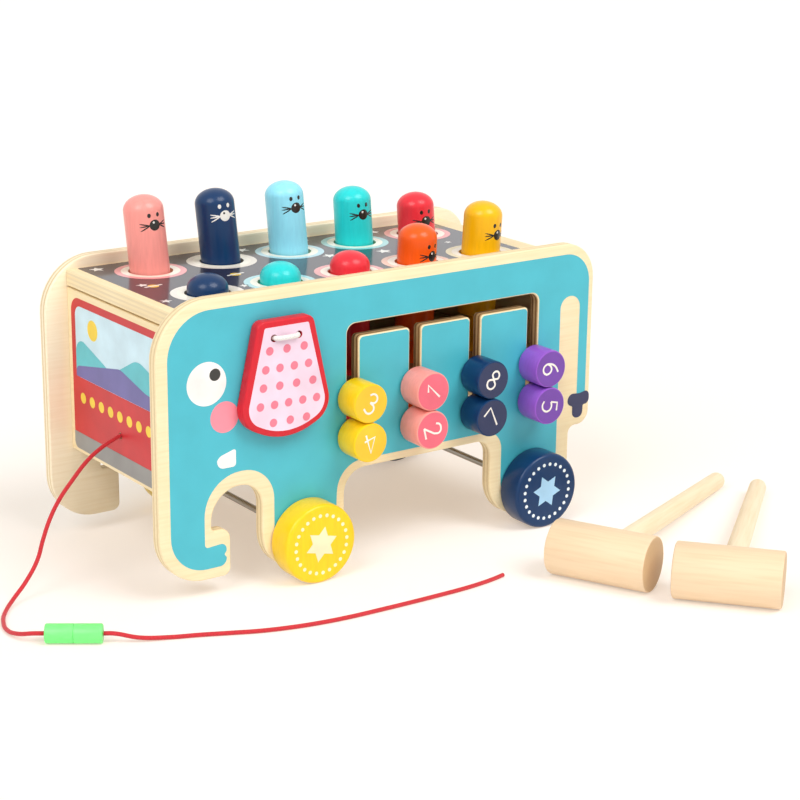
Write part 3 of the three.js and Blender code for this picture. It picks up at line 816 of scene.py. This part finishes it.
dress("guide_board", birch_plywood("birch_plywood_guide", "guide_board", Z, 5, X))
dress("grip_sheet", sheet_rubber("black_sheet_rubber"))


# Mole pegs
# Turned beech pegs with a domed head, a shoulder and a thin stem, dipped in satin paint of seven colours.
# Each has a mole's face pad-printed near its top, and a bare wood collar glued on the end of its stem.


def painted_beech(name, colour, rough=0.3):
    """Dipped satin paint on turned beech: faint upright grain under the film and a soft clear gloss."""
    material, tree, shader, spot = new_material(name)
    drawn = add_node(tree, "Mapping", {"Vector": spot, "Scale": (620.0, 620.0, 90.0)})
    grain = noise(tree, drawn.outputs[0], 1.0, 3.0)
    shade = ramp(tree, grain, 0.3, 0.75)
    feed(tree, shader, {
        "Base Color": mix_colours(tree, shade, shaded(colour, 0.93), shaded(colour, 1.03)),
        "Normal": bump(tree, grain, 0.1, 0.0001), "Roughness": rough, "Specular IOR Level": 0.25,
        "Coat Weight": 0.15, "Coat Roughness": 0.12,
    })
    return material


def bare_beech(name, place, pale="#f1d4b0", dark="#e7c7a1"):
    """Sanded beech: warm cream with fine flecks drawn out along the grain, the place's X, and darker ends: the
    end grain's own tone deepened by painted shade.
    """
    material, tree, shader, spot = new_material(name)
    grain_size = (0.03, GRAIN_WIDTH, GRAIN_WIDTH)
    set_out = {"Location": place.translation, "Rotation": place.to_euler(), "Scale": grain_size}
    grain_spot = add_node(tree, "Mapping", {"Vector": spot, **set_out}, vector_type="TEXTURE")
    grain = noise(tree, grain_spot.outputs[0], 1.0, 4.0)
    streak = ramp(tree, grain, 0.4, 0.75, last=0.7)
    side_wood = mix_colours(tree, streak, linear(pale), linear(dark))
    face = add_node(tree, "TexCoord").outputs["Normal"]
    axis = place.to_3x3().col[0].normalized()
    across = add_node(tree, "VectorMath", {0: face, 1: axis}, operation="DOT_PRODUCT").outputs["Value"]
    square = add_node(tree, "Math", {0: across}, operation="ABSOLUTE").outputs[0]
    # Faces across the grain darken: partly the end grain's real tone, partly painted shade.
    end_grain_and_shade = ramp(tree, square, 0.85, 0.98, last=0.75)
    feed(tree, shader, {
        "Base Color": mix_colours(tree, end_grain_and_shade, side_wood, linear("#d0ad80")),
        "Normal": bump(tree, grain, 0.15, 0.0002), "Roughness": 0.5, "Specular IOR Level": 0.35,
    })
    return material


paint_colours = {
    "pink": "#fb9d94", "navy": "#0d3561", "sky_blue": "#98e8ff", "turquoise": "#26dada", "red": "#f33340",
    "orange": "#fe5f10", "yellow": "#fdbd08", "purple": "#9759c8",
}
paints = {paint: painted_beech(paint + "_painted_beech", colour) for paint, colour in paint_colours.items()}
peg_paints = ["pink", "navy", "sky_blue", "turquoise", "red", "navy", "turquoise", "red", "orange", "yellow"]
PEG_RADIUS = 11.5
PEG_BODY = 68
STEM_RADIUS, STEM_LENGTH = 4.6, 43.1
SPIGOT_RADIUS, SPIGOT_LENGTH = 3, 4
EASED = 0.6
DOME = 8.5
DOME_STEPS = 12
TIP_RADIUS = 0.4
shoulder = SPIGOT_LENGTH + STEM_LENGTH
PEG_LENGTH = shoulder + PEG_BODY
peg_profile = [
    (SPIGOT_RADIUS, 0), (SPIGOT_RADIUS, SPIGOT_LENGTH), (STEM_RADIUS, SPIGOT_LENGTH), (STEM_RADIUS, shoulder),
    (PEG_RADIUS - EASED, shoulder), (PEG_RADIUS, shoulder + EASED),
]
for i in range(DOME_STEPS):
    turn = math.pi / 2 * i / DOME_STEPS
    peg_profile.append((PEG_RADIUS * math.cos(turn), PEG_LENGTH - DOME + DOME * math.sin(turn)))
peg_profile.append((TIP_RADIUS, PEG_LENGTH - 0.003))

collar_wood = bare_beech("bare_beech_collar", turn_by(-90, "Y"))
for name, paint in zip(peg_names, peg_paints):
    foot, axis = peg_lines[name]
    peg = turned(name.replace("mole", "peg"), peg_profile, 64)
    set_in_place(peg, along(axis, foot), paints[paint])
    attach(peg, name)
    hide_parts(name)
    dress(name + "_collar", collar_wood)

FACE_CLEAR = 0.02


def wrap_on_peg(piece, turn, drop):
    """Rolls a flat drawing, across and up from the eyes' level, round the peg's side."""
    for vertex in piece.data.vertices:
        across, up, lift = vertex.co / MM
        angle = across / PEG_RADIUS + math.radians(turn)
        reach = PEG_RADIUS + FACE_CLEAR + lift
        spot = (reach * math.sin(angle), -reach * math.cos(angle), PEG_LENGTH - drop + up)
        vertex.co = Vector(spot) * MM


def level_along(axis, origin):
    """Stands a peg's drawing on its axis with the drawing's front towards -Y."""
    z = axis.normalized()
    y = (Vector((0, 1, 0)) - z * z.y).normalized()
    return axes_at(origin, y.cross(z), y, z)


def face_drawing(name, marks, lift):
    """Thin printed ovals (across, up, width, height, turn), half sunk in the paint and joined as one piece."""
    drawn = []
    for across, up, wide, tall, turn in marks:
        bpy.ops.mesh.primitive_uv_sphere_add(
            segments=20, ring_count=12, radius=MM / 2,
            location=(across * MM, up * MM, lift * MM), rotation=(0, 0, math.radians(turn)),
        )
        mark = bpy.context.object
        mark.scale = (wide, tall, 2 * INK)
        bpy.ops.object.transform_apply()
        drawn.append(mark)
    for mark in drawn:
        mark.select_set(True)
    bpy.ops.object.join()
    drawing = bpy.context.object
    drawing.name = name
    return drawing


EYE_OUT = 2.75
NOSE_DROP = 5.75
WHISKER_OUT, WHISKER_LENGTH, WHISKER_WIDTH = 5.6, 6.4, 0.75
face_marks = [(-EYE_OUT, 0, 2.1, 2.6, 0), (EYE_OUT, 0, 2.1, 2.6, 0), (0.25, -NOSE_DROP, 6.6, 6.3, 0)]
for side in (-1, 1):
    for rise, slope in ((0.75, 13), (-0.2, -5), (-1.5, -26)):
        whisker = (side * WHISKER_OUT, rise - NOSE_DROP, WHISKER_LENGTH, WHISKER_WIDTH, side * slope)
        face_marks.append(whisker)
glint_marks = [(-0.4, 1.6 - NOSE_DROP, 1.3, 1.3, 0)]
eye_black = printed_ink("black_pad_ink", "#1d1b1a", rough=0.25)
eye_white = printed_ink("white_pad_ink", "#f6f3ee", rough=0.35)
# Each face has a turn round its peg, in degrees, and the eyes' drop below its tip.
face_places = [
    (0.5, 10.4), (-2.5, 9.05), (1.6, 9.3), (-0.8, 10.2), (-3, 11),
    (0, 12.5), (0, 12.5), (0, 12.5), (15, 11.9), (15, 12.8),
]
for name, paint, (turn, drop) in zip(peg_names, peg_paints, face_places):
    foot, axis = peg_lines[name]
    inks = (eye_white, eye_black) if paint == "navy" else (eye_black, eye_white)
    for part, marks, lift, ink in (("face", face_marks, 0.0, inks[0]), ("glint", glint_marks, INK, inks[1])):
        drawing = face_drawing(f"{name}_{part}", marks, lift)
        wrap_on_peg(drawing, turn, drop)
        set_in_place(drawing, level_along(axis, foot), ink)
        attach(drawing, name)


# Number discs
# Turned beech knobs in pairs on the comb track, each with a stem through its slot and a keeper ring behind
# the panel. Faces are printed a shade deeper, with a thin white numeral.

strokes = {
    "1": [[(-2.4, 2.6), (0.6, 5.7), (0.6, -5.7)]],
    "2": [
        [(-3.2, 3), (-1.8, 5.2), (0.6, 5.7), (2.9, 4.2), (2.6, 1.4), (0.2, -1.8), (-3.3, -5.6)],
        [(-3.3, -5.6), (3.4, -5.6)],
    ],
    "3": [
        [(-3, 4.2), (-0.6, 5.7), (2.3, 4.6), (2.2, 1.6), (-0.8, 0.4)],
        [(-0.8, 0.4), (2.6, -0.9), (3, -3.8), (0.4, -5.7), (-3.2, -4.3)],
    ],
    "4": [[(1.6, -5.7), (1.6, 5.7), (-3.6, -2.2), (3.6, -2.2)]],
    "5": [
        [(2.9, 5.5), (-2, 5.5), (-2.5, 0.6)],
        [(-2.5, 0.6), (0.2, 1.3), (2.8, -0.4), (2.6, -4), (-0.4, -5.7), (-3.2, -4.6)],
    ],
    "6": [[
        (2, 5.7), (-1.6, 3), (-3.1, -1.2), (-2.2, -4.6), (0.2, -5.7), (2.7, -4.2), (2.9, -1.4), (0.6, 0.5),
        (-2, -0.6), (-3, -2.4),
    ]],
    "7": [[(-3.2, 5.5), (3.4, 5.5), (-0.8, -5.7)]],
    "8": [
        [(0, 0.5), (-2.5, 3), (0, 5.6), (2.5, 3), (0, 0.5)],
        [(0, 0.5), (-3, -2.5), (0, -5.6), (3, -2.5), (0, 0.5)],
    ],
}
STROKE = 1.2
STRAIGHT = 4  # strokes of up to this many points keep their corners


def numeral_drawing(name, lines):
    """A numeral of thin round strokes, pressed flat to a film of ink on Z = 0."""
    drawn = [[(x * MM, y * MM, 0) for x, y in line] for line in lines]
    piece = round_curve(name, drawn, STROKE / 2, 6, 2, sharp=STRAIGHT)
    to_mesh(piece)
    piece.data.transform(Matrix.Diagonal((1, 1, INK / STROKE, 1)))
    close_up()
    return piece


# Each pair has a paint, the print's colour, and the numerals and their turns from the upper disc to the lower.
disc_pairs = [
    ("yellow", "#f8c62b", ("3", "4"), (-30, 197)), ("pink", "#ef6a7d", ("1", "2"), (45, -76)),
    ("navy", "#252f55", ("8", "7"), (-36, 44)), ("purple", "#7442a8", ("6", "5"), (-95, -96)),
]
lemon_paint = painted_beech("lemon_painted_beech", "#fbd01c")
knob_low, knob_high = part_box("disc_1_upper")
DISC_RADIUS = 11.25
DISC_REACH = (knob_high.y - knob_low.y) / MM
DISC_THICK = 16.9
SEAT_RADIUS, SEAT = 6, 0.8
DISC_EASED = 0.8
disc_back = DISC_REACH - DISC_THICK
disc_profile = [
    (DISC_STEM, 0), (DISC_STEM, disc_back - SEAT), (SEAT_RADIUS, disc_back - SEAT), (SEAT_RADIUS, disc_back),
    (DISC_RADIUS - 1, disc_back), (DISC_RADIUS - 0.3, disc_back + 0.3), (DISC_RADIUS, disc_back + 1),
    (DISC_RADIUS, DISC_REACH - DISC_EASED), (DISC_RADIUS - 0.25, DISC_REACH - 0.22),
    (DISC_RADIUS - DISC_EASED, DISC_REACH),
]
keeper_wood = bare_beech("bare_beech_keeper", turn_by(90, "Z"))
numeral_ink = printed_ink("white_numeral_ink", "#fbf3ea", rough=0.4)
outward = Vector((0, -1, 0))
NUMERAL_LIFT = 1.6 * INK
for i, (paint, face_colour, numbers, turns) in enumerate(disc_pairs):
    disc_paint = lemon_paint if paint == "yellow" else paints[paint]
    face_ink = printed_ink(f"{paint}_face_ink", face_colour, rough=0.45)
    for level, number, turn in zip(("upper", "lower"), numbers, turns):
        node = f"disc_{i + 1}_{level}"
        low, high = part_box(node)
        middle = (low + high) / 2
        disc = turned(f"knob_{i + 1}_{level}", disc_profile, 64)
        set_in_place(disc, along(outward, Vector((middle.x, high.y, middle.z))), disc_paint)
        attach(disc, node)
        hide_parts(node)
        dress(node + "_keeper", keeper_wood)
        front = facing(Vector((middle.x, low.y, middle.z)), (1, 0, 0))
        face = [ring_points(0, 0, DISC_RADIUS - DISC_EASED)]
        ink_on(f"knob_face_{i + 1}_{level}", face, front, face_ink, node)
        numeral = numeral_drawing(f"numeral_{number}", strokes[number])
        numeral.data.transform(Matrix.Translation((0, 0, NUMERAL_LIFT * MM)) @ turn_by(turn, "Z"))
        set_in_place(numeral, front, numeral_ink)
        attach(numeral, node)


# Wheels and axles
# Turned wheels pressed on drawn steel rods. The front pair is yellow and the rear pair navy, each with a
# six-pointed star and a ring of dots printed on its outer face.


def drawn_steel(name):
    """Bright drawn steel rod: grey metal with fine scratches along its length."""
    material, tree, shader, spot = new_material(name)
    drawn = add_node(tree, "Mapping", {"Vector": spot, "Scale": (2500.0, 20.0, 2500.0)})
    scratch = noise(tree, drawn.outputs[0], 1.0, 2.0)
    feed(tree, shader, {
        "Base Color": linear("#a9a49c"), "Metallic": 1.0,
        "Roughness": ramp(tree, scratch, 0.3, 0.7, 0.25, 0.45),
    })
    return material


wheel_low, wheel_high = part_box("front_near_wheel")
WHEEL_RADIUS = (wheel_high.z - wheel_low.z) / 2 / MM
WHEEL_THICK = (wheel_high.y - wheel_low.y) / MM
wheel_profile = [
    (WHEEL_RADIUS - 1, 0), (WHEEL_RADIUS - 0.3, 0.3), (WHEEL_RADIUS, 1), (WHEEL_RADIUS, WHEEL_THICK - 2.2),
    (WHEEL_RADIUS - 0.2, WHEEL_THICK - 1.3), (WHEEL_RADIUS - 0.7, WHEEL_THICK - 0.6),
    (WHEEL_RADIUS - 1.4, WHEEL_THICK - 0.15), (WHEEL_RADIUS - 2.2, WHEEL_THICK),
]
steel = drawn_steel("drawn_steel_rod")
pale_blue_ink = printed_ink("pale_blue_star_ink", "#a9d4f1")
cream_star_ink = printed_ink("cream_star_ink", "#fdeec2")
white_dot_ink = printed_ink("white_dot_ink", "#eaf3f6")
wheel_looks = {
    "front": ("yellow", lemon_paint, cream_star_ink, cream_star_ink, 77, 78),
    "rear": ("navy", paints["navy"], pale_blue_ink, white_dot_ink, 53, 69),
}
WHEEL_STAR, WHEEL_STAR_WAIST = 10.4, 0.577
DOTS, DOT_RING, DOT_RADIUS = 24, 16.9, 1.1
for place, (slot, wheel_paint, star_look, dot_look, turn, first_dot) in wheel_looks.items():
    dress(place + "_axle", steel)
    for side, way in (("near", -1), ("far", 1)):
        node = f"{place}_{side}_wheel"
        low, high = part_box(node)
        middle = (low + high) / 2
        inner, outer = (high.y, low.y) if side == "near" else (low.y, high.y)
        wheel = turned(f"{place}_{side}_roller", wheel_profile, 96)
        hub = along(Vector((0, way, 0)), Vector((middle.x, inner, middle.z)))
        set_in_place(wheel, hub, wheel_paint)
        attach(wheel, place + "_wheelset")
        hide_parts(node)
        front = facing(Vector((middle.x, outer, middle.z)), (-way, 0, 0))
        star = [star_points(0, 0, WHEEL_STAR, 6, WHEEL_STAR_WAIST, turn)]
        ink_on(f"{place}_{side}_star", star, front, star_look, place + "_wheelset")
        dots = []
        for i in range(DOTS):
            angle = 2 * math.pi * i / DOTS + math.radians(first_dot)
            dots.append(ring_points(DOT_RING * math.cos(angle), DOT_RING * math.sin(angle), DOT_RADIUS, 16))
        ink_on(f"{place}_{side}_dots", dots, front, dot_look, place + "_wheelset")


# Ear and its stitch
# A red painted flap of 7 mm plywood, printed in pale pink with dots, and tied through two holes by a white
# cotton cord that is knotted inside the panel.

EAR_THICK = (ear_high.y - ear_low.y) / MM
EAR_EDGE = 1.1
ear_front = in_mm(ear_low).y
ear_side = facing(at(ear_x, ear_front, ear_top), (1, 0, 0))
ear_outline = rounded_outline([(-17.5, 0, 5), (-30, -56, 14), (0, -70.5, 38), (30, -56, 14), (17.5, 0, 5)])
ear_print = rounded_outline([
    (-13.8, -3.5, 1.2), (-25.9, -54, 11), (0, -66.9, 36), (26.4, -54, 11), (14.2, -3.5, 1.2),
])
ear_holes = [ring_points(side * TIE_SPAN / 2, -TIE_DROP, TIE_HOLE, 24) for side in (-1, 1)]
ear_paint = painted_beech("red_painted_plywood", "#d5202f", rough=0.45)
ear = sheet("ear_flap", [ear_outline, *ear_holes], EAR_THICK, EAR_EDGE)
set_in_place(ear, sunk(ear_side, EAR_THICK), ear_paint)
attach(ear, "ear")
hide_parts("ear")
pale_pink_ink = printed_ink("pale_pink_screen_ink", "#f3d6e7")
dot_ink = printed_ink("rose_screen_ink", "#ee7d92")
ink_on("ear_pink_print", [ear_print, *ear_holes], ear_side, pale_pink_ink, "ear")
dot_rows = [
    (-16.5, (-10.8, 0.2, 11.2)), (-26.7, (-13.4, -4.4, 4.8, 14.0)), (-36.7, (-15, -4.6, 6.2, 16.8)),
    (-47, (-17, -8, 1, 10.2, 19.2)), (-57.1, (-8.8, 2, 12.6)),
]
EAR_DOT = 2.4
dots = [ring_points(x, drop, EAR_DOT, 24) for drop, row in dot_rows for x in row]
ink_on("ear_dots", dots, ear_side, dot_ink, "ear", lift=INK)

white_braid = braided_cord("white_cotton_braid", "#f7f4ef", 0.8)
TIE_RADIUS = 1.4
panel_back = in_mm(near_high).y
tie_z = ear_top - TIE_DROP
# Half of the stitch, as depths and how far inward of its hole it lies there.
leg = [
    (panel_back + 2.9, 0), (panel_back, 0), (NEAR_FACE, 0.3), (ear_front + 1.2, 0.65), (ear_front - 0.9, 1.4),
    (ear_front - 1.5, 3.4),
]
tie_route = []
for side in (-1, 1):
    places = [(ear_x + side * (TIE_SPAN / 2 - inward), y, tie_z) for y, inward in leg]
    tie_route += places if side < 0 else places[::-1]
tie = cord_curve("ear_stitch", tie_route, TIE_RADIUS, white_braid)
to_mesh(tie)
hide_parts("ear_tie")
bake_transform(tie)


# Mallets
# Two loose mallets of sanded beech, left bare: a turned head with eased edges, and a tapered handle with a
# round end, turned too and let into the head.


def mallet_matrix(number):
    """The mallet's place: X along its handle, Y along its head, from its two solids."""
    middle = middle_of(f"mallet_{number}_head")
    points = [v.co for v in frame["nodes"][f"mallet_{number}_handle"].data.vertices]
    tip = max(points, key=lambda p: (p - middle).length)
    x = (tip - middle).normalized()
    y = UP.cross(x).normalized()
    return axes_at(middle, x, y, x.cross(y))


HEAD_RADIUS = 16
HEAD_HALF = 30
head_profile = [
    (HEAD_RADIUS - 1.2, -HEAD_HALF), (HEAD_RADIUS - 0.4, 0.35 - HEAD_HALF), (HEAD_RADIUS, 1.2 - HEAD_HALF),
    (HEAD_RADIUS, HEAD_HALF - 1.2), (HEAD_RADIUS - 0.4, HEAD_HALF - 0.35), (HEAD_RADIUS - 1.2, HEAD_HALF),
]
HANDLE_REACH = 188
HANDLE_IN = 9
HANDLE_RADIUS, HANDLE_TIP = 6.4, 5.4
handle_profile = [
    (HANDLE_RADIUS, -HANDLE_IN), (HANDLE_RADIUS, HEAD_RADIUS), (HANDLE_TIP, HANDLE_REACH - 4),
    (4.9, HANDLE_REACH - 2.2), (3.6, HANDLE_REACH - 0.8), (1.8, HANDLE_REACH - 0.15),
    (0.3, HANDLE_REACH - 0.01),
]
for number in (1, 2):
    matrix = mallet_matrix(number)
    head_wood = bare_beech(f"sanded_beech_head_{number}", matrix @ turn_by(90, "Z"))
    # The handles' wood is drawn paler than the heads': painted light, lifting their shaded sides.
    handle_wood = bare_beech(f"sanded_beech_handle_{number}", matrix, pale="#fae6c4", dark="#f0d5aa")
    head = turned(f"mallet_{number}_barrel", head_profile, 72)
    set_in_place(head, matrix @ turn_by(-90, "X"), head_wood)
    handle = turned(f"mallet_{number}_grip", handle_profile, 48)
    set_in_place(handle, matrix @ turn_by(90, "Y"), handle_wood)
    for piece, node in ((head, f"mallet_{number}_head"), (handle, f"mallet_{number}_handle")):
        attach(piece, f"mallet_{number}")
        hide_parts(node)
